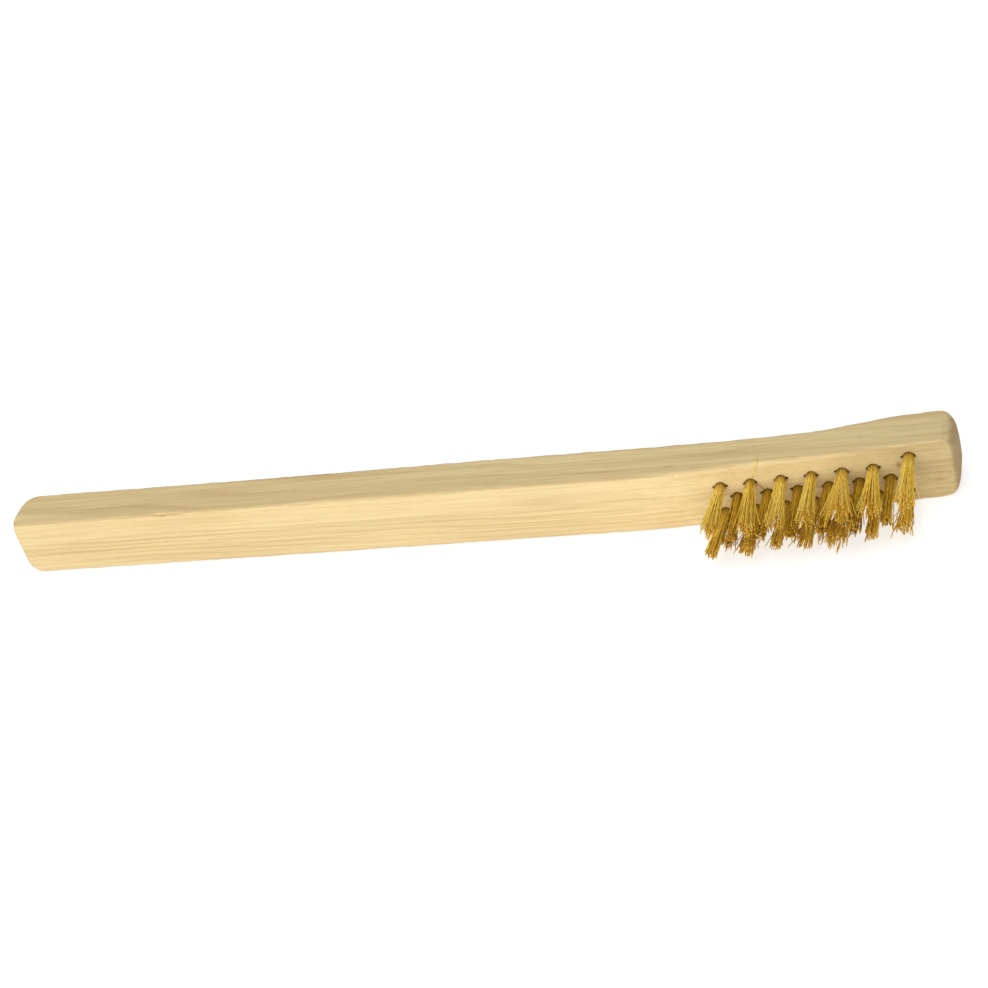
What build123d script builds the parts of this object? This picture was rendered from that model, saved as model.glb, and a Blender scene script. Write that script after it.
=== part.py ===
from build123d import *
import math
import os

# Small wire scratch brush: a bent wooden handle, staple-set brass tufts and their flat anchors.
#
# The brush lies on one side face. +X runs along the handle from the tail to the head, the bristles
# point to -Y, the back of the handle faces +Y, and +Z is up. The origin is the middle of the side
# face that the brush lies on, half way along the handle and half way through its thickness.
# Millimetres throughout.

# Handle
handle_length = 197.0
handle_width = 13.3              # between the two flat side faces
handle_thickness = 10.2          # bristle face to back, along the grip
edge_ease = 0.4                  # sanded long edges

# Bend towards the head, measured from the tail
bend_station = 138.8             # where the bristle face turns away
bend_angle = 4.3                 # degrees
bend_radius = 160.0

# Back of the handle: distance from the tail and height above the bristle face of the grip
tail_back = (4.5, 10.6)
grip_back_start = (44.5, 10.2)
grip_back_end = (126.0, 10.2)
neck_back = (164.6, 10.55)
neck_rise = (172.6, 11.25)
head_swell = (181.5, 13.0)
head_back = (190.5, 14.15)
head_height = 14.4               # where the back meets the head end

# Ends, bowed outward in profile and in plan
tail_apex_height = 5.9           # the tail reaches furthest this high above the bristle face
tail_face_setback = 0.4
tail_back_setback = 0.75
tail_face_radius = 0.8
tail_back_radius = 3.0
tail_plan_bow = 0.1
tail_upper_radius = 0.4
tail_lower_radius = 4.0          # plan corner nearest the ground
head_bow = 1.3
head_face_radius = 1.6
head_back_radius = 3.0
head_plan_radius = 3.4

# Bristle field, along the bent face
columns = 7                      # in the two outer rows; the middle row has one less
first_mouth = 13.95              # from the bend to the first mouth of the outer rows
pitch = 5.74
upper_row = 2.3                  # heights of the rows above the middle of the face
middle_row = -0.5
lower_row = -3.8
last_mouth_shift = (1.0, 1.75)   # the last mouth of the upper row was drilled astray
hole_diameter = 2.1
hole_depth = 6.5

# Anchor: a snip of flat wire that pins each folded tuft
anchor_length = 2.7              # longer than the hole is wide, so its ends cut into the wood
anchor_thickness = 0.3
anchor_height = 1.6
anchor_top_depth = 4.2
anchor_bottom_depth = anchor_top_depth + anchor_height

# Tuft
wires_per_tuft = 36
wire_diameter = 0.18
upper_trim = 14.0                # longest free wire of each row, above the bristle face
middle_trim = 13.6
lower_trim = 12.4
trim_unevenness = 1.6
packed_depth = 1.0               # below the mouth, where the wires are packed solid
wire_rooting = 0.3               # how far a free wire runs down into the packed root
mouth_spread = 0.86              # radius of the outermost wires at the mouth
tip_spread = 2.0                 # radius of the outermost wires at the tip
tuft_lean = -5.0                 # degrees, the tufts lean to the tail
end_lean = -7.0                  # the first tuft of each row leans further
golden_angle = 137.508

tail_x = -handle_length / 2
face_y = -handle_thickness / 2
middle_z = handle_width / 2


def back_point(station_and_height):
    """A point of the back's outline in the XY plane."""
    station, height = station_and_height
    return (tail_x + station, face_y + height)


def head_face_plane():
    """The bent bristle face: local x along the face to the head, local y up, local z outward."""
    turn = math.radians(bend_angle)
    return Plane(
        origin=(tail_x + bend_station, face_y, middle_z),
        x_dir=(math.cos(turn), math.sin(turn), 0),
        z_dir=(math.sin(turn), -math.cos(turn), 0),
    )


def mouths():
    """Name, local place, lean and trim of every tuft on the bent face."""
    rows = [
        ("upper", upper_row, columns, 0.0, upper_trim),
        ("middle", middle_row, columns - 1, 0.5, middle_trim),
        ("lower", lower_row, columns, 0.0, lower_trim),
    ]
    placed = []
    for row, height, count, offset, trim in rows:
        for column in range(count):
            along = first_mouth + (column + offset) * pitch
            across = height
            if row == "upper" and column == columns - 1:
                along += last_mouth_shift[0]
                across += last_mouth_shift[1]
            lean = end_lean if column == 0 else tuft_lean
            placed.append((f"{row}_{column + 1}", along, across, lean, trim))
    return placed


def handle_profile():
    """The side view of the handle, as a face in the XY plane."""
    tail_face_corner = (tail_x + tail_face_setback, face_y)
    tail_back_corner = (tail_x + tail_back_setback, face_y + tail_back[1])
    head_corner_x = tail_x + handle_length - head_bow
    head_run = handle_length - head_bow - bend_station
    head_drop = head_run * math.tan(math.radians(bend_angle))
    with BuildSketch() as profile:
        with BuildLine():
            grip_face = Line(tail_face_corner, (tail_x + bend_station, face_y))
            head_face = Line(grip_face @ 1, (head_corner_x, face_y + head_drop))
            head_end = SagittaArc(head_face @ 1, (head_corner_x, face_y + head_height), -head_bow)
            back = Spline(
                head_end @ 1,
                back_point(head_back),
                back_point(head_swell),
                back_point(neck_rise),
                back_point(neck_back),
                back_point(grip_back_end),
                back_point(grip_back_start),
                back_point(tail_back),
            )
            tail_top = Line(back @ 1, tail_back_corner)
            ThreePointArc(tail_top @ 1, (tail_x, face_y + tail_apex_height), grip_face @ 0)
        make_face()
        fillet(vertices().sort_by_distance(grip_face @ 1)[0], bend_radius)
        fillet(vertices().sort_by_distance(head_face @ 1)[0], head_face_radius)
        fillet(vertices().sort_by_distance(head_end @ 1)[0], head_back_radius)
        fillet(vertices().sort_by_distance(grip_face @ 0)[0], tail_face_radius)
        fillet(vertices().sort_by_distance(tail_top @ 1)[0], tail_back_radius)
    return profile.sketch


def handle_plan():
    """The bristle-side view of the handle with its rounded ends, as a face in the XZ plane."""
    tail_corner_x = tail_x + tail_plan_bow
    head_corner_x = tail_x + handle_length - head_bow
    with BuildSketch(Plane.XZ) as plan:
        with BuildLine():
            lower = Line((tail_corner_x, 0), (head_corner_x, 0))
            upper = Line((head_corner_x, handle_width), (tail_corner_x, handle_width))
            SagittaArc(lower @ 1, upper @ 0, -head_bow)
            SagittaArc(upper @ 1, lower @ 0, -tail_plan_bow)
        make_face()
        fillet(vertices().sort_by_distance(lower @ 0)[0], tail_lower_radius)
        fillet(vertices().sort_by_distance(upper @ 1)[0], tail_upper_radius)
        fillet(vertices().group_by(Axis.X)[-1], head_plan_radius)
    return plan.sketch


def handle_part():
    """The bent profile, cut by the rounded plan, then drilled and slit for the tufts."""
    with BuildPart() as handle:
        extrude(handle_profile(), amount=handle_width)
        fillet(faces().filter_by(Axis.Z).edges(), edge_ease)
        extrude(handle_plan(), amount=2 * handle_thickness, both=True, mode=Mode.INTERSECT)
        places = [(along, across) for _, along, across, _, _ in mouths()]
        with BuildSketch(head_face_plane()):
            with Locations(*places):
                Circle(hole_diameter / 2)
        extrude(amount=-hole_depth, mode=Mode.SUBTRACT)
        with BuildSketch(head_face_plane()):
            with Locations(*places):
                Rectangle(anchor_length, anchor_thickness)
        extrude(amount=-anchor_bottom_depth, mode=Mode.SUBTRACT)
    handle.part.label = "handle"
    return handle.part


def anchor_part(name, along, across):
    """One flat anchor, driven across the hole just above the fold of its tuft."""
    top = head_face_plane().offset(-anchor_top_depth)
    with BuildPart() as anchor:
        with BuildSketch(top):
            with Locations((along, across)):
                Rectangle(anchor_length, anchor_thickness)
        extrude(amount=-anchor_height)
    anchor.part.label = f"anchor_{name}"
    return anchor.part


def free_wires(trim):
    """The free wires of one tuft, fanned about a mouth at the origin that faces +Z."""
    root_depth = packed_depth + wire_rooting
    with BuildPart() as wires:
        for wire in range(wires_per_tuft):
            reach = math.sqrt((wire + 0.5) / wires_per_tuft)
            turn = math.radians(wire * golden_angle)
            slope = reach * (tip_spread - mouth_spread) / trim
            direction = Vector(slope * math.cos(turn), slope * math.sin(turn), 1)
            mouth = Vector(math.cos(turn), math.sin(turn), 0) * (reach * mouth_spread)
            start = mouth - direction * root_depth
            short_by = trim_unevenness * abs(math.sin(wire))
            with Locations(Plane(origin=start, z_dir=direction)):
                Cylinder(
                    wire_diameter / 2,
                    root_depth + trim - short_by,
                    align=(Align.CENTER, Align.CENTER, Align.MIN),
                )
    return wires.part


def tuft_part(name, along, across, lean, wires):
    """A packed root that fills the hole round the anchor, with the free wires standing on it."""
    mouth_plane = head_face_plane()
    root_top = mouth_plane.offset(-packed_depth)
    anchor_top = mouth_plane.offset(-anchor_top_depth)
    mouth = mouth_plane.location * Location((along, across, 0))
    with BuildPart() as tuft:
        with BuildSketch(root_top):
            with Locations((along, across)):
                Circle(hole_diameter / 2)
        extrude(amount=-(hole_depth - packed_depth))
        with BuildSketch(anchor_top):
            with Locations((along, across)):
                Rectangle(anchor_length, anchor_thickness)
        extrude(amount=-anchor_height, mode=Mode.SUBTRACT)
        add(wires.moved(mouth * Location((0, 0, 0), (0, lean, 0))))
    tuft.part.label = f"tuft_{name}"
    return tuft.part


def main():
    """Make every piece and write one STEP file for each."""
    wires = {trim: free_wires(trim) for trim in (upper_trim, middle_trim, lower_trim)}
    pieces = [handle_part()]
    for name, along, across, lean, trim in mouths():
        pieces.append(anchor_part(name, along, across))
        pieces.append(tuft_part(name, along, across, lean, wires[trim]))
    os.makedirs("parts", exist_ok=True)
    for piece in pieces:
        export_step(piece, f"parts/{piece.label}.step")


main()
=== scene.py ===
import math
import random

import bmesh
import bpy
import numpy as np
from mathutils import Matrix, Vector, noise


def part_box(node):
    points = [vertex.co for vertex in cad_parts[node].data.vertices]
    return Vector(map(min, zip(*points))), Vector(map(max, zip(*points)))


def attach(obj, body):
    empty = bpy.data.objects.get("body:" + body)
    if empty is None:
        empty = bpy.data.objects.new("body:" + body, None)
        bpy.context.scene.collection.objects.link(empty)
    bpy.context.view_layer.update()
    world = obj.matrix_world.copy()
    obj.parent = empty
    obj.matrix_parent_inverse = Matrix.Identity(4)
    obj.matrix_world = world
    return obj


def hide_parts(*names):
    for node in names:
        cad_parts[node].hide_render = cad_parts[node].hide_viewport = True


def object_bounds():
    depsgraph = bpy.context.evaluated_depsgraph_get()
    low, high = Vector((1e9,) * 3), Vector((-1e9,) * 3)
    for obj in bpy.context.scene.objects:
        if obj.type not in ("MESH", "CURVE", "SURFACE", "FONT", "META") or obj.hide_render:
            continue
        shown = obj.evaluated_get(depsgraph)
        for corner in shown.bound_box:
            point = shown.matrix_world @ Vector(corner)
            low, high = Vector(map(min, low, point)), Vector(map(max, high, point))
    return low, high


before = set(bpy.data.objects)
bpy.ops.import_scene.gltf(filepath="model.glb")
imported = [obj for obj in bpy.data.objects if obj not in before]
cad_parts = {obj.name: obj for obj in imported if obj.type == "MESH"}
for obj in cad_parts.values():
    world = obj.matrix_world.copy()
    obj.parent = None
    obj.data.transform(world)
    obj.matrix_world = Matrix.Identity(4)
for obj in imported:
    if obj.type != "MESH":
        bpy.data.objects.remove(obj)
cad_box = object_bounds()

# Looks for a small wire scratch brush: bare pale wood, crimped brass tufts and steel anchors.
# Metres throughout. +X runs to the head, the bristles point to -Y and +Z is up.

MM = 0.001

# Camera, about a point near the middle of the handle
CAMERA_AIM = Vector((7.95, -0.14, 8.34)) * MM
CAMERA_DISTANCE = 396.2 * MM
CAMERA_AZIMUTH = math.radians(22.70)
CAMERA_ELEVATION = math.radians(34.90)
CAMERA_ROLL = math.radians(-17.80)
CAMERA_LENS = 72.86              # millimetres of focal length
SENSOR_WIDTH = 36.0
CAMERA_CLIP_START = 10 * MM

# Bristle field
ROWS = (("upper", 7), ("middle", 6), ("lower", 7))
ANCHOR_DEPTH = 5.0 * MM          # from the bristle face to the middle of an anchor
HOLE_RADIUS = 1.05 * MM
HOLE_DEPTH = 6.5 * MM

# Closing the CAD handle's holes: a face is in a hole if its middle is between these depths and
# within this reach, which is just past the end of the anchor's slit
WELD_DISTANCE = 0.002 * MM
WALL_DEPTHS = (0.02 * MM, 7.15 * MM)
WALL_REACH = 1.47 * MM

# Mouths: each is a little uneven, with the anchor's cut as a round ear on both sides
MOUTH_STEPS = 96
MOUTH_SEED = 5
MOUTH_RADIUS = 1.01              # as a share of the hole's radius
MOUTH_UNEVENNESS = 0.02
MOUTH_LOBES = 3
EAR_REACHES = (0.92 * MM, 1.16 * MM)   # from the middle of the mouth to the middle of an ear
EAR_RADIUS = 0.34 * MM
EAR_DEPTH = 1.1 * MM
EAR_TURNS = (-0.22, 0.12)        # radians from the line along the face

# The pit under a mouth, ring by ring: height over the bristle face, and share of an ear's reach
PIT_RINGS = ((-HOLE_DEPTH, 0.0), (-EAR_DEPTH, 0.0), (-0.7 * EAR_DEPTH, 0.9), (0.3 * MM, 1.10))

# The wood's growth lines, in millimetres. Their axis lies so far from the origin in -Y and in -Z.
GROWTH_AXIS = (16.0, 30.0)
GROWTH_SPACING = 1.15
GROWTH_WAVER = 7.0
GROWTH_SLOPE = 0.020

# Handle skin
SKIN_VOXEL = 0.32 * MM
SANDING_ROUNDS = 6
SANDING_SHARE = 0.22             # of the way to the neighbours' middle, in each round
END_SANDING_SHARE = 0.10         # more at the two ends
END_SANDING_REACH = 2.5 * MM
ARRIS_WEAR = 0.22 * MM
FACE_WEAR = 0.03 * MM
SHARP_ANGLE = math.radians(58)

# Wavelengths of the wear along X, Y and Z, in millimetres
LONG_KNOCKS = (4.0, 30.0, 30.0)
SHORT_KNOCKS = (1.3, 30.0, 30.0)
FACE_WAVES = (22.0, 7.0, 7.0)

# The tail's upper front corner is knocked round
GRIP_THICKNESS = 10.2 * MM
TAIL_KNOCK = 0.55 * MM
TAIL_KNOCK_REACH = 1.9 * MM

# Chips in the upper front arris, in millimetres: distance along X, length and depth
CHIPS = (
    (-62.4, 1.4, 0.42),
    (-59.4, 1.1, 0.24),
    (-31.0, 2.5, 0.16),
    (12.0, 1.5, 0.14),
    (28.0, 3.0, 0.12),
)

# Stain in the torn wood about the mouths, with painted shade on their rims and in their pits
RIM_STAIN_AND_SHADE = 0.75
RIM_STAIN_AND_SHADE_REACH = 0.24 * MM
RIM_STRETCH = (0.75, 1.1)        # along and across the face, so that it is drawn out to the ears
PIT_SHADE = 0.95
PIT_SHADE_START = 0.12 * MM      # below the face
PIT_SHADE_REACH = 1.8 * HOLE_RADIUS
STAIN_AND_SHADE_DEPTH = 1.2 * HOLE_DEPTH

# Dark dashes in the grain, in millimetres: length, width and darkness come last.
# On the bent face a dash lies so far along and across from the first upper mouth.
BENT_FACE_DASHES = (
    (40.4, -4.3, 1.2, 0.28, 0.5),
    (33.4, 0.0, 0.45, 0.55, 1.0),
    (-20.0, -3.0, 2.0, 0.5, 0.25),
)
# Elsewhere it lies at X, Y and Z.
HANDLE_DASHES = (
    (44.5, -2.3, 13.3, 1.0, 0.3, 0.35),
    (30.3, 3.2, 13.3, 1.5, 0.3, 0.20),
    (19.0, -5.1, 8.8, 5.0, 0.45, 0.20),
    (24.0, -5.1, 7.3, 7.0, 0.50, 0.18),
    (31.0, -5.1, 5.8, 8.0, 0.50, 0.15),
    (-88.0, -5.1, 9.6, 6.0, 0.20, 0.16),
)

# Tufts
WIRES_PER_TUFT = 35              # each is folded, so it has two free ends
WIRE_RADIUS = 0.096 * MM
WIRE_SIDES = 5
WIRE_SECTION = 0.30 * MM         # from ring to ring of a free wire
BRISTLE_UNEVENNESS = 0.85 * MM   # spread of the free lengths in a tuft
SHORTEST_WIRE = 0.78             # as a share of the tuft's length
LONGEST_WIRE = 1.06
MOUTH_PACK_RADIUS = 0.95 * MM
GOLDEN_ANGLE = math.radians(137.508)
FIRST_SEED = 100                 # of the first tuft's random draws; each tuft has the next one
SIDE_LEAN = 0.015                # spread of the tufts' lean up and down the face, as a slope

# How far each wire strays from straight. A pair of numbers is a range to draw from.
FLARE_SHARES = (0.4, 1.5)        # a wire's own share of its tuft's flare
FLARE_CURVE = 1.3
BEND = 0.24                      # spread of the bends at the tip, in millimetres
BEND_PER_FLARE = 0.16            # and so much more with the tuft's flare
WILD_WIRES = 0.12                # share of the wires that are bent more
WILD_BEND = 3.0
CRIMP_WAVE = 2.5 * MM
CRIMP_WAVES = (0.85, 1.2)        # a wire's own wavelength, as a share of that
CRIMP_SIZE = 0.065 * MM
CRIMP_SIZES = (0.5, 1.3)         # a wire's own size, as a share of that
CRIMP_AT_MOUTH = 0.15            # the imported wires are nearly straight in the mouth
CRIMP_REACH = 3 * MM             # and get their crimp over this height
ROOT_SAG = 0.05 * MM             # how far the wires lie below the middle of the mouth
WIRE_CLEARANCE = 1.1 * WIRE_RADIUS     # from the floor to the middle of a wire

# The fold, which runs under the anchor. Depths are below the bristle face.
FOLD_GAP = 0.27 * MM             # from the anchor's middle plane to a wire beside it
FOLD_SHOULDER = 2.0 * MM         # where a wire starts to close on the anchor
FOLD_NECK = 4.6 * MM             # where it lies along the anchor
FOLD_NECK_SHARE = 0.8            # of its distance from the anchor's plane at the shoulder
FOLD_START = 5.75 * MM           # where it turns under the anchor
FOLD_ROUNDNESS = 0.55
FOLD_STEPS = 7

# How bright the wires of each row are, from 0 for tarnished to 1 for bright; the middle row is kept dark
# as painted shade between the upper and lower rows
ROW_TONES_AND_SHADE = {"upper": (0.25, 1.0), "middle": (0.0, 0.30), "lower": (0.15, 0.90)}

# Each tuft's lean in degrees, negative towards the tail, and how much wider it grows to the tip
LEANS = {
    "upper": (-5.6, -1.5, -4.0, -4.5, -2.6, -3.5, -4.5),
    "middle": (-5.0, -5.0, -5.0, -5.0, -5.0, -5.5),
    "lower": (-9.5, -6.0, -8.5, -10.0, -10.5, -6.5, -6.0),
}
FLARES = {
    "upper": (0.7, 0.8, 1.0, 0.8, 2.0, 1.0, 0.8),
    "middle": (0.4, 0.5, 0.4, 0.9, 0.5, 0.1),
    "lower": (0.1, 0.5, 0.1, 0.7, 1.2, 0.2, 0.7),
}

# Free length of each tuft, in millimetres
LENGTHS = {
    "upper": (13.3, 13.4, 13.4, 13.3, 13.5, 12.9, 13.8),
    "middle": (13.6, 12.8, 13.4, 13.5, 13.7, 12.2),
    "lower": (12.6, 12.5, 11.7, 12.2, 12.2, 11.7, 11.3),
}

# Wires that left their tuft: the tuft, how bright, and a path in the mouth's frame, in millimetres.
# One is bent back over the arris and the other lies across the face.
OVER_THE_ARRIS = (
    (0.30, 0.80, -1.5),
    (0.35, 0.86, 0.0),
    (0.60, 1.40, 0.2),
    (1.20, 2.80, 0.18),
    (1.75, 4.10, 0.16),
    (1.88, 4.46, 0.0),
    (1.90, 4.47, -0.5),
    (1.96, 4.47, -2.4),
)
ACROSS_THE_FACE = ((0.50, -0.20, -1.5), (0.75, -0.30, 0.0), (1.50, -0.55, 0.15), (2.20, -1.60, 0.10))
STRAY_WIRES = (("upper_2", 1.0, OVER_THE_ARRIS), ("upper_2", 0.0, ACROSS_THE_FACE))
STRAY_WIRE_RADIUS = 0.8 * WIRE_RADIUS
STRAY_WIRE_RISE = 0.5            # neither root nor tip, so it isn't browned

# A direction that no wire runs along, for each kind of wire
WIRE_SIDE = (1.0, 0.0, 0.0)
STRAY_WIRE_SIDE = (0.3, 0.0, 1.0)

# Studio, in metres and watts: each lamp has a place, a width, a height and a power
FLOOR_REACH = 8.0
FLOOR_GLOW = 0.62
SKY_STRENGTH = 0.44
SOFTBOXES = {
    "overhead": ((-0.15, -0.05, 1.1), 1.3, 1.3, 8.4),
    "front": ((0.0, -1.08, 0.42), 1.1, 0.7, 11.6),
}


# ---------------------------------------------------------------- materials

class Graph:
    """Short words for building a node material."""

    def __init__(self, name):
        self.material = bpy.data.materials.new(name)
        self.material.use_nodes = True
        self.tree = self.material.node_tree
        self.tree.nodes.clear()
        self.output = self.tree.nodes.new("ShaderNodeOutputMaterial")
        self.place = self.tree.nodes.new("ShaderNodeTexCoord").outputs

    def node(self, kind, inputs=None, **settings):
        made = self.tree.nodes.new(kind)
        for key, value in settings.items():
            setattr(made, key, value)
        for key, value in (inputs or {}).items():
            self.feed(made.inputs[key], value)
        return made

    def feed(self, socket, value):
        if isinstance(value, bpy.types.NodeSocket):
            self.tree.links.new(value, socket)
        else:
            socket.default_value = value

    def math(self, operation, first, second=0.0):
        return self.node("ShaderNodeMath", {0: first, 1: second}, operation=operation).outputs[0]

    def noise(self, coords, scale, detail=3.0, roughness=0.55):
        inputs = {"Vector": coords, "Scale": scale, "Detail": detail, "Roughness": roughness}
        return self.node("ShaderNodeTexNoise", inputs).outputs["Fac"]

    def stretched(self, coords, scale, offset=(0.0, 0.0, 0.0)):
        inputs = {"Vector": coords, "Location": offset, "Scale": scale}
        return self.node("ShaderNodeMapping", inputs).outputs[0]

    def millimetres(self):
        """Where a point is on the object, in millimetres."""
        return self.stretched(self.place["Object"], (1 / MM, 1 / MM, 1 / MM))

    def ramp(self, factor, *stops):
        """Colours along a factor. Each stop is a place from 0 to 1 and a colour."""
        made = self.node("ShaderNodeValToRGB", {"Fac": factor})
        elements = made.color_ramp.elements
        while len(elements) < len(stops):
            elements.new(0.5)
        for element, (place, tint) in zip(elements, stops):
            element.position = place
            element.color = (*tint, 1.0)
        return made.outputs["Color"]

    def steps(self, factor, *stops):
        """A ramp of plain numbers. Each stop is a place from 0 to 1 and a number."""
        return self.ramp(factor, *[(place, (value,) * 3) for place, value in stops])

    def mix(self, factor, first, second, blend_type="MIX"):
        made = self.node("ShaderNodeMix", data_type="RGBA", blend_type=blend_type)
        self.feed(made.inputs[0], factor)
        self.feed(made.inputs[6], first)
        self.feed(made.inputs[7], second)
        return made.outputs[2]

    def surface(self, inputs):
        """The finished surface. inputs are the Principled shader's own, by name."""
        shader = self.node("ShaderNodeBsdfPrincipled", inputs)
        self.tree.links.new(shader.outputs[0], self.output.inputs["Surface"])


def colour(red, green, blue):
    """A colour, given from 0 to 255, as the linear colour that a node takes."""
    linear = []
    for part in (red, green, blue):
        part = part / 255
        linear.append(part / 12.92 if part <= 0.04045 else ((part + 0.055) / 1.055) ** 2.4)
    return (*linear, 1.0)


def growth_lines(g, parts, waver):
    """Late wood, from 0 to 1: wide shells about a far axis, wavering a little along the length."""
    slope = g.math("MULTIPLY", parts.outputs["X"], GROWTH_SLOPE)
    across = g.math("ADD", parts.outputs["Z"], g.math("MULTIPLY", waver, GROWTH_WAVER))
    rise = g.math("ADD", parts.outputs["Y"], slope)
    to_axis = {0: 0.0, 1: g.math("ADD", rise, GROWTH_AXIS[0]), 2: g.math("ADD", across, GROWTH_AXIS[1])}
    away = g.node("ShaderNodeCombineXYZ", to_axis).outputs[0]
    radius = g.node("ShaderNodeVectorMath", {0: away}, operation="LENGTH").outputs["Value"]
    layer = g.math("FRACT", g.math("DIVIDE", radius, GROWTH_SPACING))
    return g.steps(layer, (0.0, 0.0), (0.45, 0.10), (0.84, 1.0), (0.92, 1.0), (1.0, 0.0))


def grain_share(g, parts, upward, waver):
    """How much the grain shows: the bristle face is plainer near its upper arris."""
    height = g.math("ADD", parts.outputs["Z"], g.math("MULTIPLY", waver, 3.0))
    near_arris = g.steps(g.math("DIVIDE", height, 20.0), (0.44, 0.0), (0.56, 0.75))
    plain = g.math("MULTIPLY", near_arris, g.steps(upward, (0.3, 1.0), (0.7, 0.0)))
    return g.math("SUBTRACT", 1.0, plain)


def fresh_wood(g, millimetres, late, grain, fibre, fine, pore, smudge):
    """The wood's own colours, before hands and tools have marked it."""
    broad = g.noise(g.stretched(millimetres, (0.012, 0.16, 0.16)), 1.0, 3.0)
    smoke = g.noise(g.stretched(millimetres, (0.018, 0.42, 0.42), (3.1, 0.0, 0.0)), 1.0, 4.0, 0.6)
    pale = colour(222, 200, 148)
    middle = colour(214, 188, 134)
    brown = colour(170, 137, 88)
    base = g.mix(g.steps(broad, (0.30, 0.0), (0.68, 1.0)), pale, middle)
    late = g.math("MULTIPLY", late, g.steps(smudge, (0.36, 0.05), (0.62, 0.42)))
    base = g.mix(g.math("MULTIPLY", late, grain), base, brown)
    fibre_lines = g.math("MULTIPLY", g.steps(fibre, (0.34, 0.34), (0.58, 0.0)), grain)
    base = g.mix(fibre_lines, base, brown)
    base = g.mix(g.steps(fine, (0.35, 0.22), (0.60, 0.0)), base, brown)
    base = g.mix(g.math("MULTIPLY", pore, 0.42), base, brown)
    return g.mix(g.steps(smoke, (0.54, 0.0), (0.72, 0.30)), base, brown)


def marked_and_shaded_wood(g, base, parts, normal, upward, smudge):
    """Fresh wood with its sides greyed, painted shade on its grip and towards its head, and stains and
    painted shade about the mouths.
    """
    grey_tint = (0.86, 0.90, 0.95, 1.0)
    head_shade_tint = (0.67, 0.67, 0.65, 1.0)
    grip_shade_tint = (0.90, 0.91, 0.95, 1.0)

    # the two side faces are greyer, and darkest along the arris
    side = g.steps(upward, (0.45, 0.0), (0.85, 1.0))
    base = g.mix(g.math("MULTIPLY", side, 0.85), base, grey_tint, "MULTIPLY")
    from_arris = g.math("ADD", parts.outputs["Y"], g.math("MULTIPLY", smudge, 2.4))
    streak = g.steps(g.math("DIVIDE", g.math("ADD", from_arris, 10.0), 20.0), (0.30, 0.34), (0.42, 0.0))
    base = g.mix(g.math("MULTIPLY", streak, side), base, colour(156, 122, 76))

    # painted shade: the faces darker towards the head, the bristle face most, and the bristle face of the
    # grip a little darker
    along = g.math("DIVIDE", g.math("ADD", parts.outputs["X"], 100.0), 200.0)
    towards_head = g.steps(along, (0.70, 0.0), (0.86, 0.25), (0.95, 1.0))
    facing = g.math("SUBTRACT", 1.0, g.math("MULTIPLY", side, 0.8))
    base = g.mix(g.math("MULTIPLY", towards_head, facing), base, head_shade_tint, "MULTIPLY")
    towards_tail = g.steps(along, (0.62, 1.0), (0.78, 0.0))
    grip_shade = g.math("MULTIPLY", towards_tail, g.math("SUBTRACT", 1.0, side))
    base = g.mix(grip_shade, base, grip_shade_tint, "MULTIPLY")

    # stain of torn wood with painted shade about the mouths, painted shade in the pits, and dark dashes in
    # the grain
    stain = g.node("ShaderNodeAttribute", attribute_name="stain").outputs["Fac"]
    base = g.mix(stain, base, colour(142, 96, 20))

    # end grain is darker
    end = g.steps(g.math("ABSOLUTE", normal.outputs["X"]), (0.55, 0.0), (0.80, 0.55))
    return g.mix(end, base, colour(148, 119, 76))


def wood_material():
    """Bare sanded pale hardwood, its grain along X. Noise scales are per millimetre."""
    g = Graph("pale_wood")
    millimetres = g.millimetres()
    parts = g.node("ShaderNodeSeparateXYZ", {0: millimetres})
    normal = g.node("ShaderNodeSeparateXYZ", {0: g.place["Normal"]})
    upward = g.math("ABSOLUTE", normal.outputs["Z"])
    waver = g.noise(g.stretched(millimetres, (0.010, 0.05, 0.05)), 1.0, 3.0, 0.5)
    fibre = g.noise(g.stretched(millimetres, (0.020, 2.2, 2.2)), 1.0, 5.0, 0.62)
    fine = g.noise(g.stretched(millimetres, (0.07, 7.0, 7.0)), 1.0, 3.0, 0.6)
    pores = g.noise(g.stretched(millimetres, (0.40, 7.5, 7.5)), 1.0, 1.0, 0.5)
    pore = g.steps(pores, (0.0, 0.0), (0.63, 0.0), (0.72, 1.0))
    smudge = g.noise(g.stretched(millimetres, (0.022, 0.30, 0.30)), 1.0, 2.0)

    late = growth_lines(g, parts, waver)
    grain = grain_share(g, parts, upward, waver)
    base = fresh_wood(g, millimetres, late, grain, fibre, fine, pore, smudge)
    base = marked_and_shaded_wood(g, base, parts, normal, upward, smudge)

    height = g.math("ADD", g.math("MULTIPLY", fibre, 0.6), g.math("MULTIPLY", fine, 0.4))
    height = g.math("SUBTRACT", height, g.math("MULTIPLY", pore, 0.35))
    bump = g.node("ShaderNodeBump", {"Height": height, "Strength": 0.3, "Distance": 0.08 * MM})
    rough = g.math("ADD", g.math("MULTIPLY", fibre, 0.22), 0.55)
    g.surface({
        "Base Color": base,
        "Roughness": rough,
        "Normal": bump.outputs[0],
        "Specular IOR Level": 0.25,
    })
    return g.material


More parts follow.
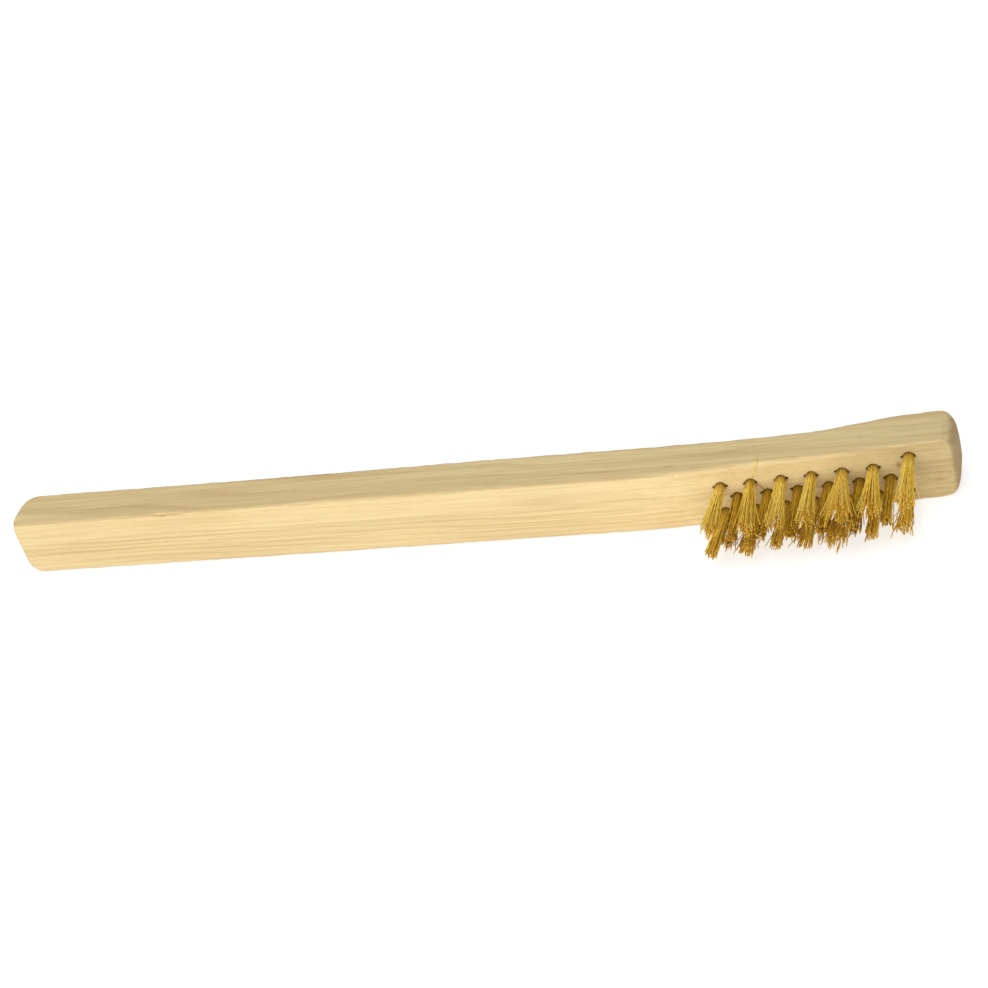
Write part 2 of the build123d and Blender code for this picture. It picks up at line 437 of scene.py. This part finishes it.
def brass_material():
    """Drawn brass wire, browner in patches and at the cut tip, and darker at the root with oxide and
    painted shade down in the mouth.
    """
    g = Graph("brass_wire")
    millimetres = g.millimetres()
    tone = g.node("ShaderNodeAttribute", attribute_name="tone").outputs["Fac"]
    rise = g.node("ShaderNodeAttribute", attribute_name="rise").outputs["Fac"]
    patches = g.noise(millimetres, 1.2, 3.0)
    drawn = g.noise(g.stretched(millimetres, (14.0, 3.0, 14.0)), 1.0, 2.0)
    tarnished = (0.44, 0.26, 0.02)
    drawn_brass = (0.98, 0.69, 0.08)
    bright = (1.0, 0.85, 0.24)
    patch_brown = (0.55, 0.27, 0.02, 1.0)
    root_oxide_and_shade = (0.42, 0.24, 0.03, 1.0)
    tip_brown = (0.50, 0.26, 0.03, 1.0)
    base = g.ramp(tone, (0.0, tarnished), (0.45, drawn_brass), (1.0, bright))
    base = g.mix(g.steps(patches, (0.35, 0.20), (0.60, 0.0)), base, patch_brown)
    # darker at the root: oxide, and painted shade where the wires go into the mouth
    base = g.mix(g.steps(rise, (0.0, 0.72), (0.05, 0.50), (0.22, 0.0)), base, root_oxide_and_shade)
    base = g.mix(g.steps(rise, (0.60, 0.0), (0.96, 0.18), (0.985, 0.50)), base, tip_brown)
    bump = g.node("ShaderNodeBump", {"Height": drawn, "Strength": 0.2, "Distance": 0.02 * MM})
    rough = g.math("ADD", g.math("MULTIPLY", patches, 0.25), 0.28)
    g.surface({
        "Base Color": base,
        "Metallic": 0.60,
        "Roughness": rough,
        "Normal": bump.outputs[0],
        "Specular IOR Level": 0.1,
    })
    return g.material


def steel_material():
    """Flat drawn steel, lightly browned."""
    g = Graph("anchor_steel")
    millimetres = g.millimetres()
    drawn = g.noise(g.stretched(millimetres, (0.8, 12.0, 12.0)), 1.0, 3.0)
    rust = g.noise(millimetres, 1.1, 4.0)
    rust_brown = (0.20, 0.10, 0.04, 1.0)
    base = g.ramp(drawn, (0.3, (0.30, 0.29, 0.27)), (0.7, (0.55, 0.53, 0.50)))
    base = g.mix(g.steps(rust, (0.55, 0.0), (0.70, 0.6)), base, rust_brown)
    bump = g.node("ShaderNodeBump", {"Height": drawn, "Strength": 0.3, "Distance": 0.03 * MM})
    rough = g.math("ADD", g.math("MULTIPLY", rust, 0.3), 0.3)
    g.surface({"Base Color": base, "Metallic": 1.0, "Roughness": rough, "Normal": bump.outputs[0]})
    return g.material


def floor_material():
    """A matt white light table, lit a little from below."""
    g = Graph("light_table")
    tooth = g.noise(g.place["Object"], 900.0, 2.0)
    base = g.ramp(tooth, (0.3, (0.43, 0.43, 0.43)), (0.7, (0.45, 0.45, 0.45)))
    g.surface({
        "Base Color": base,
        "Roughness": 0.9,
        "Specular IOR Level": 0.1,
        "Emission Color": (1.0, 1.0, 1.0, 1.0),
        "Emission Strength": FLOOR_GLOW,
    })
    return g.material


# ---------------------------------------------------------------- bristle field

def node_centre(name):
    low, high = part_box(name)
    return (low + high) / 2


def mouth_frame():
    """Directions on the bent bristle face: along it to the head, up across it, and outward."""
    along = (node_centre("anchor_upper_6") - node_centre("anchor_upper_1")).normalized()
    across = Vector((0, 0, 1))
    return along, across, Vector((along.y, -along.x, 0))


ALONG, ACROSS, OUTWARD = mouth_frame()


def mouths():
    """The tuft's name and the middle of its mouth."""
    names = [f"{row}_{number + 1}" for row, count in ROWS for number in range(count)]
    return {name: node_centre(f"anchor_{name}") + OUTWARD * ANCHOR_DEPTH for name in names}


MOUTHS = mouths()


# ---------------------------------------------------------------- handle

def evaluated_mesh(obj):
    """The mesh that an object's modifiers give."""
    graph = bpy.context.evaluated_depsgraph_get()
    return bpy.data.meshes.new_from_object(obj.evaluated_get(graph))


def link(name, mesh):
    obj = bpy.data.objects.new(name, mesh)
    bpy.context.scene.collection.objects.link(obj)
    return obj


def in_a_hole(point):
    """Whether a point of the CAD handle is on the wall or floor of a tuft's hole."""
    shallowest, deepest = WALL_DEPTHS
    for mouth in MOUTHS.values():
        away = point - mouth
        depth = -away.dot(OUTWARD)
        sideways = (away + OUTWARD * depth).length
        if shallowest < depth < deepest and sideways < WALL_REACH:
            return True
    return False


def undrilled_skin(node):
    """The CAD handle with its holes closed over."""
    shell = bmesh.new()
    shell.from_mesh(node.data)
    bmesh.ops.remove_doubles(shell, verts=shell.verts, dist=WELD_DISTANCE)
    drilled = [face for face in shell.faces if in_a_hole(face.calc_center_median())]
    bmesh.ops.delete(shell, geom=drilled, context="FACES")
    rims = [edge for edge in shell.edges if edge.is_boundary]
    bmesh.ops.edgeloop_fill(shell, edges=rims)
    bmesh.ops.triangulate(shell, faces=shell.faces)
    mesh = bpy.data.meshes.new("undrilled")
    shell.to_mesh(mesh)
    shell.free()
    return mesh


def points_of(mesh):
    flat = np.zeros(len(mesh.vertices) * 3)
    mesh.vertices.foreach_get("co", flat)
    return flat.reshape(-1, 3)


def move_points(mesh, points):
    mesh.vertices.foreach_set("co", points.ravel())
    mesh.update()


def normals_of(mesh):
    flat = np.zeros(len(mesh.vertices) * 3)
    mesh.vertices.foreach_get("normal", flat)
    return flat.reshape(-1, 3)


def smoothed(mesh, rounds, share):
    """Each point moved a share of the way to the middle of its neighbours, some rounds over."""
    ends = np.zeros(len(mesh.edges) * 2, int)
    mesh.edges.foreach_get("vertices", ends)
    first, second = ends.reshape(-1, 2).T
    points = points_of(mesh)
    count = len(points)
    neighbours = np.bincount(first, minlength=count) + np.bincount(second, minlength=count)
    for _ in range(rounds):
        total = np.zeros_like(points)
        for axis in range(3):
            total[:, axis] += np.bincount(first, points[second, axis], count)
            total[:, axis] += np.bincount(second, points[first, axis], count)
        points += share[:, None] * (total / neighbours[:, None] - points)
    return points


def field(points, wavelengths, seed):
    """Smooth noise from -1 to 1, with its own wavelength along each axis, in millimetres."""
    shift = Vector((seed * 7.3, seed * 3.1, seed * 5.7))
    stretch = np.array(wavelengths) * MM
    return np.array([noise.noise(Vector(point) + shift) for point in points / stretch])


def sand(mesh, low, high):
    """Round the arrises a little, and the ends a little more."""
    points = points_of(mesh)
    from_end = np.minimum(points[:, 0] - low.x, high.x - points[:, 0])
    share = SANDING_SHARE + END_SANDING_SHARE * np.exp(-from_end / END_SANDING_REACH)
    move_points(mesh, smoothed(mesh, SANDING_ROUNDS, share))


def wear(mesh, low, high):
    """Make the arrises ragged, the faces not quite flat, and the tail and upper front arris chipped."""
    points = points_of(mesh)
    normals = normals_of(mesh)
    arris = 2 * np.abs(normals[:, 1] * normals[:, 2])
    ragged = 0.5 + 0.5 * field(points, LONG_KNOCKS, 1) + 0.35 * field(points, SHORT_KNOCKS, 2)
    uneven = 1 + field(points, FACE_WAVES, 3)
    inward = arris * np.clip(ragged, 0, 2) * ARRIS_WEAR + uneven * FACE_WEAR
    tail_corner = np.array((low.x, -0.5 * GRIP_THICKNESS, high.z))
    from_corner = np.linalg.norm(points - tail_corner, axis=1)
    inward += TAIL_KNOCK * np.exp(-(from_corner / TAIL_KNOCK_REACH) ** 2)
    upper_front = (points[:, 1] < 0) & (points[:, 2] > 0.5 * high.z)
    for station, length, depth in CHIPS:
        away = (points[:, 0] - station * MM) / (length * MM)
        inward += arris * upper_front * depth * MM * np.exp(-away ** 2)
    move_points(mesh, points - normals * inward[:, None])


def on_bent_face(along, across):
    """A point of the bent bristle face, from the first upper mouth, in millimetres."""
    return MOUTHS["upper_1"] + (ALONG * along + ACROSS * across) * MM


def mouth_reach(turn, phase, ears, ear_share):
    """How far a mouth's edge is from its middle: the round hole, or an ear where that is wider."""
    ear_middle = ears[0] if math.cos(turn) > 0 else ears[1]
    half_chord = EAR_RADIUS ** 2 - (ear_middle * math.sin(turn)) ** 2
    ear = 0.0
    if half_chord > 0:
        ear = ear_middle * abs(math.cos(turn)) + math.sqrt(half_chord)
    waver = MOUTH_UNEVENNESS * math.sin(MOUTH_LOBES * turn + phase)
    return max(HOLE_RADIUS * (MOUTH_RADIUS + waver), ear * ear_share)


def mouth_cutter():
    """A pit for each tuft: a round hole, with the anchor's cut as two shallow round ears."""
    turns = [math.tau * step / MOUTH_STEPS for step in range(MOUTH_STEPS)]
    draw = random.Random(MOUTH_SEED)
    cutter = bmesh.new()
    for mouth in MOUTHS.values():
        askew = draw.uniform(*EAR_TURNS)
        phase = draw.uniform(0, math.tau)
        ears = (draw.uniform(*EAR_REACHES), draw.uniform(*EAR_REACHES))
        rings = []
        for height, ear_share in PIT_RINGS:
            ring = []
            for turn in turns:
                reach = mouth_reach(turn, phase, ears, ear_share)
                side = ALONG * math.cos(turn + askew) + ACROSS * math.sin(turn + askew)
                ring.append(cutter.verts.new(mouth + side * reach + OUTWARD * height))
            rings.append(ring)
        for lower, upper in zip(rings, rings[1:]):
            for step in range(MOUTH_STEPS):
                following = (step + 1) % MOUTH_STEPS
                cutter.faces.new((lower[step], lower[following], upper[following], upper[step]))
        cutter.faces.new(rings[0][::-1])
        cutter.faces.new(rings[-1])
    bmesh.ops.recalc_face_normals(cutter, faces=cutter.faces)
    mesh = bpy.data.meshes.new("mouth_cutter")
    cutter.to_mesh(mesh)
    cutter.free()
    return mesh


def dash_stain(points):
    """The stain of the dashes in the grain, from 0 to 1, at each point."""
    stain = np.zeros(len(points))
    dashes = [(on_bent_face(*dash[:2]), *dash[2:]) for dash in BENT_FACE_DASHES]
    dashes += [(Vector(dash[:3]) * MM, *dash[3:]) for dash in HANDLE_DASHES]
    for middle, length, width, darkness in dashes:
        away = points - np.array(middle)
        along = away[:, 0] / (length * MM)
        across = np.hypot(away[:, 1], away[:, 2]) / (width * MM)
        stain = np.maximum(stain, darkness * np.exp(-along ** 2 - across ** 2))
    return stain


def mouth_stain_and_shade(points, mouth):
    """The stain and painted shade of one mouth, from 0 to 1, at each point: painted shade strong in the
    pit, and stain with painted shade fading about its rim.
    """
    away = points - np.array(mouth)
    along = np.abs(away @ np.array(ALONG))
    across = np.abs(away @ np.array(ACROSS))
    depth = -(away @ np.array(OUTWARD))
    reach = np.maximum(np.hypot(along, across), along * RIM_STRETCH[0] + across * RIM_STRETCH[1])
    near = np.exp(-np.maximum(reach - HOLE_RADIUS, 0) / RIM_STAIN_AND_SHADE_REACH)
    in_pit = (depth > PIT_SHADE_START) & (reach < PIT_SHADE_REACH)
    # painted shade in the pit; stain and painted shade about the rim
    near = np.where(in_pit, PIT_SHADE, near * RIM_STAIN_AND_SHADE)
    return np.where(depth < STAIN_AND_SHADE_DEPTH, near, 0)


def stain_and_shade_of(points):
    """How dark the wood is at each point, from 0 to 1: stains, and painted shade about and in the mouths.
    """
    stain = dash_stain(points)
    for mouth in MOUTHS.values():
        stain = np.maximum(stain, mouth_stain_and_shade(points, mouth))
    return np.clip(stain, 0, 1)


def build_handle():
    """The CAD handle's skin, worn, with open mouths, its stains and the painted shade about the mouths."""
    low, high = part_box("handle")
    blank = link("handle_blank", undrilled_skin(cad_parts["handle"]))
    remesh = blank.modifiers.new("even", "REMESH")
    remesh.mode = "VOXEL"
    remesh.voxel_size = SKIN_VOXEL
    skin = link("handle_skin", evaluated_mesh(blank))
    sand(skin.data, low, high)
    wear(skin.data, low, high)
    cutter = link("handle_cutter", mouth_cutter())
    drill = skin.modifiers.new("drill", "BOOLEAN")
    drill.operation = "DIFFERENCE"
    drill.solver = "MANIFOLD"
    drill.object = cutter
    handle = link("wooden_handle", evaluated_mesh(skin))
    for spent in (blank, skin, cutter):
        bpy.data.objects.remove(spent)
    mesh = handle.data
    # the stain attribute holds real stains and the painted shade about and in the mouths
    mesh.attributes.new("stain", "FLOAT", "POINT").data.foreach_set("value", stain_and_shade_of(points_of(mesh)))
    mesh.shade_smooth()
    mesh.set_sharp_from_angle(angle=SHARP_ANGLE)
    mesh.materials.clear()
    mesh.materials.append(wood_material())
    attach(handle, "root")
    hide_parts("handle")


# ---------------------------------------------------------------- tufts

def tube(path, side, radius):
    """Points and faces of a closed tube along a path. side is a direction never along the path."""
    ahead = np.gradient(path, axis=0)
    ahead /= np.linalg.norm(ahead, axis=1)[:, None]
    first = side - ahead * (ahead @ side)[:, None]
    first /= np.linalg.norm(first, axis=1)[:, None]
    second = np.cross(ahead, first)
    turns = np.arange(WIRE_SIDES) * math.tau / WIRE_SIDES
    around = np.cos(turns)[None, :, None] * first[:, None] + np.sin(turns)[None, :, None] * second[:, None]
    points = (path[:, None] + radius * around).reshape(-1, 3)
    faces = []
    last = len(path) - 1
    for ring in range(last):
        for step in range(WIRE_SIDES):
            following = (step + 1) % WIRE_SIDES
            here, there = ring * WIRE_SIDES, (ring + 1) * WIRE_SIDES
            faces.append((here + step, here + following, there + following, there + step))
    faces.append(tuple(range(WIRE_SIDES))[::-1])
    faces.append(tuple(last * WIRE_SIDES + step for step in range(WIRE_SIDES)))
    return points, faces


def packed_places(count, radius):
    """Even places on a disc, from its middle outward."""
    steps = np.arange(count) + 0.5
    reach = radius * np.sqrt(steps / count)
    turn = steps * GOLDEN_ANGLE
    return np.stack([reach * np.cos(turn), reach * np.sin(turn)], axis=1)


def free_end(place, draw, lean, flare, tuft_length):
    """One free end of a wire, from the mouth to the tip, in the mouth's own frame."""
    length = tuft_length + draw.gauss(0, 1) * BRISTLE_UNEVENNESS
    length = min(max(length, SHORTEST_WIRE * tuft_length), LONGEST_WIRE * tuft_length)
    heights = np.linspace(0, length, int(length / WIRE_SECTION))
    share = heights / tuft_length
    widen = 1 + flare * draw.uniform(*FLARE_SHARES) * share ** FLARE_CURVE
    bend_turn = draw.uniform(0, math.tau)
    bend = draw.gauss(0, BEND + BEND_PER_FLARE * flare) * MM
    if draw.random() < WILD_WIRES:
        bend *= WILD_BEND
    bow = bend * share ** 2
    crimp_turn = draw.uniform(0, math.tau)
    crimp_phase = draw.uniform(0, math.tau)
    crimp_wave = CRIMP_WAVE * draw.uniform(*CRIMP_WAVES)
    crimp_size = CRIMP_SIZE * draw.uniform(*CRIMP_SIZES)
    crimp_size = crimp_size * np.minimum(1, CRIMP_AT_MOUTH + heights / CRIMP_REACH)
    crimp = crimp_size * np.sin(math.tau * heights / crimp_wave + crimp_phase)
    along = place[0] * widen + math.cos(bend_turn) * bow + math.cos(crimp_turn) * crimp
    across = place[1] * widen + math.sin(bend_turn) * bow + math.sin(crimp_turn) * crimp
    along = along + lean[0] * heights
    across = across + lean[1] * heights - ROOT_SAG * (1 - share)
    return np.stack([along, across, heights], axis=1)


def closing(place, fold_along, side):
    """Two corners of a wire between mouth and fold. side is 1 above the anchor and -1 below it."""
    shoulder = side * max(side * place[1], FOLD_GAP)
    neck = side * max(side * place[1] * FOLD_NECK_SHARE, FOLD_GAP)
    return [(place[0], shoulder, -FOLD_SHOULDER), (fold_along, neck, -FOLD_NECK)]


def folded_wire(upper_place, lower_place, draw, lean, flare, tuft_length):
    """A wire from its upper tip, down and under the anchor, to its lower tip."""
    upper_end = free_end(upper_place, draw, lean, flare, tuft_length)
    lower_end = free_end(lower_place, draw, lean, flare, tuft_length)
    fold_along = (upper_place[0] + lower_place[0]) / 2
    going_down = closing(upper_place, fold_along, 1)
    going_up = closing(lower_place, fold_along, -1)[::-1]
    top = going_down[-1][1]
    bottom = going_up[0][1]
    middle = (top + bottom) / 2
    half = (top - bottom) / 2
    fold = []
    for turn in np.linspace(0, math.pi, FOLD_STEPS):
        across = middle + half * math.cos(turn)
        depth = FOLD_START + FOLD_ROUNDNESS * half * math.sin(turn)
        fold.append((fold_along, across, -depth))
    return np.concatenate([upper_end[::-1], going_down, fold, going_up, lower_end])


def rounded_path(corners):
    """A path with its corners cut twice over, so that it bends like wire."""
    path = np.array(corners) * MM
    for _ in range(2):
        before, after = path[:-1], path[1:]
        cut = np.stack([0.75 * before + 0.25 * after, 0.25 * before + 0.75 * after], axis=1)
        path = np.concatenate([path[:1], cut.reshape(-1, 3), path[-1:]])
    return path


def rise_of(path):
    """From 0 at the mouth to 1 at the tip of either free end, for each point of a folded wire."""
    fold = int(np.argmin(path[:, 2]))
    tips = np.where(np.arange(len(path)) < fold, path[0, 2], path[-1, 2])
    return np.clip(path[:, 2] / tips, 0, 1)


def sorted_halves(places):
    """The places above and below the anchor, each in order along the face."""
    order = np.argsort(places[:, 1])
    half = len(places) // 2
    lower = places[order[:half]]
    upper = places[order[half:]]
    return upper[np.argsort(upper[:, 0])], lower[np.argsort(lower[:, 0])]


def wires_of(name, seed):
    """Each wire of a tuft: path in the mouth's frame, side, radius, tone, and rise along the path."""
    draw = random.Random(seed)
    row, number = name.split("_")
    column = int(number) - 1
    lean = (math.tan(math.radians(LEANS[row][column])), draw.gauss(0, SIDE_LEAN))
    flare = FLARES[row][column]
    tuft_length = LENGTHS[row][column] * MM
    floor = WIRE_CLEARANCE - MOUTHS[name].z
    upper, lower = sorted_halves(packed_places(2 * WIRES_PER_TUFT, MOUTH_PACK_RADIUS))
    wires = []
    for upper_place, lower_place in zip(upper, lower):
        path = folded_wire(upper_place, lower_place, draw, lean, flare, tuft_length)
        path[:, 1] = np.maximum(path[:, 1], floor)
        # the middle row's darker range is painted shade
        tone = draw.uniform(*ROW_TONES_AND_SHADE[row])
        wires.append((path, WIRE_SIDE, WIRE_RADIUS, tone, rise_of(path)))
    for owner, tone, corners in STRAY_WIRES:
        if owner == name:
            path = rounded_path(corners)
            rise = np.full(len(path), STRAY_WIRE_RISE)
            wires.append((path, STRAY_WIRE_SIDE, STRAY_WIRE_RADIUS, tone, rise))
    return wires


def build_tuft(name, material, seed):
    """One tuft: a mesh of closed tubes, one for each wire."""
    points, faces, tones, rises = [], [], [], []
    for path, side, radius, tone, rise in wires_of(name, seed):
        wire_points, wire_faces = tube(path, np.array(side), radius)
        start = sum(len(earlier) for earlier in points)
        points.append(wire_points)
        faces += [tuple(start + corner for corner in face) for face in wire_faces]
        tones.append(np.full(len(wire_points), tone))
        rises.append(np.repeat(rise, WIRE_SIDES))
    turned = np.array(Matrix((ALONG, ACROSS, OUTWARD)))
    world = np.concatenate(points) @ turned + np.array(MOUTHS[name])
    mesh = bpy.data.meshes.new(f"tuft_{name}")
    mesh.from_pydata(world.tolist(), [], faces)
    for label, values in (("tone", tones), ("rise", rises)):
        mesh.attributes.new(label, "FLOAT", "POINT").data.foreach_set("value", np.concatenate(values))
    mesh.shade_smooth()
    mesh.materials.append(material)
    tuft = link(f"brass_tuft_{name}", mesh)
    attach(tuft, "root")
    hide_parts(f"tuft_{name}")


def finish_anchors():
    steel = steel_material()
    for name in MOUTHS:
        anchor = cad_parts[f"anchor_{name}"]
        for material_slot in anchor.material_slots:
            material_slot.material = steel


# ---------------------------------------------------------------- studio

def build_floor():
    """A wide square level with the CAD model's lowest point."""
    low, _ = cad_box
    square = ((-1, -1), (1, -1), (1, 1), (-1, 1))
    corners = [(x * FLOOR_REACH, y * FLOOR_REACH, low[2]) for x, y in square]
    mesh = bpy.data.meshes.new("floor")
    mesh.from_pydata(corners, [], [(0, 1, 2, 3)])
    mesh.materials.append(floor_material())
    floor = link("floor", mesh)


def softbox(name, place, width, height, power):
    """A rectangular lamp at a place, turned to face the origin."""
    lamp = bpy.data.lights.new(name, "AREA")
    lamp.shape = "RECTANGLE"
    lamp.size = width
    lamp.size_y = height
    lamp.energy = power
    holder = bpy.data.objects.new(name, lamp)
    holder.location = place
    holder.rotation_euler = (-Vector(place)).to_track_quat("-Z", "Y").to_euler()
    bpy.context.scene.collection.objects.link(holder)


def build_lights():
    world = bpy.data.worlds.new("studio")
    world.use_nodes = True
    sky = world.node_tree.nodes["Background"]
    sky.inputs["Color"].default_value = (1, 1, 1, 1)
    sky.inputs["Strength"].default_value = SKY_STRENGTH
    bpy.context.scene.world = world
    for name, (place, width, height, power) in SOFTBOXES.items():
        softbox(name, place, width, height, power)


def build_camera():
    toward = Vector((
        math.sin(CAMERA_AZIMUTH) * math.cos(CAMERA_ELEVATION),
        -math.cos(CAMERA_AZIMUTH) * math.cos(CAMERA_ELEVATION),
        math.sin(CAMERA_ELEVATION),
    ))
    level = toward.to_track_quat("Z", "Y").to_matrix()
    turned = level @ Matrix.Rotation(CAMERA_ROLL, 3, "Z")
    lens = bpy.data.cameras.new("camera")
    lens.lens = CAMERA_LENS
    lens.sensor_width = SENSOR_WIDTH
    lens.clip_start = CAMERA_CLIP_START
    camera = bpy.data.objects.new("camera", lens)
    camera.matrix_world = Matrix.Translation(CAMERA_AIM + toward * CAMERA_DISTANCE) @ turned.to_4x4()
    bpy.context.scene.collection.objects.link(camera)
    bpy.context.scene.camera = camera
    bpy.context.scene.view_settings.view_transform = "Standard"


build_camera()
build_lights()
build_floor()
build_handle()
finish_anchors()
brass = brass_material()
for tuft_number, tuft_name in enumerate(MOUTHS):
    build_tuft(tuft_name, brass, FIRST_SEED + tuft_number)
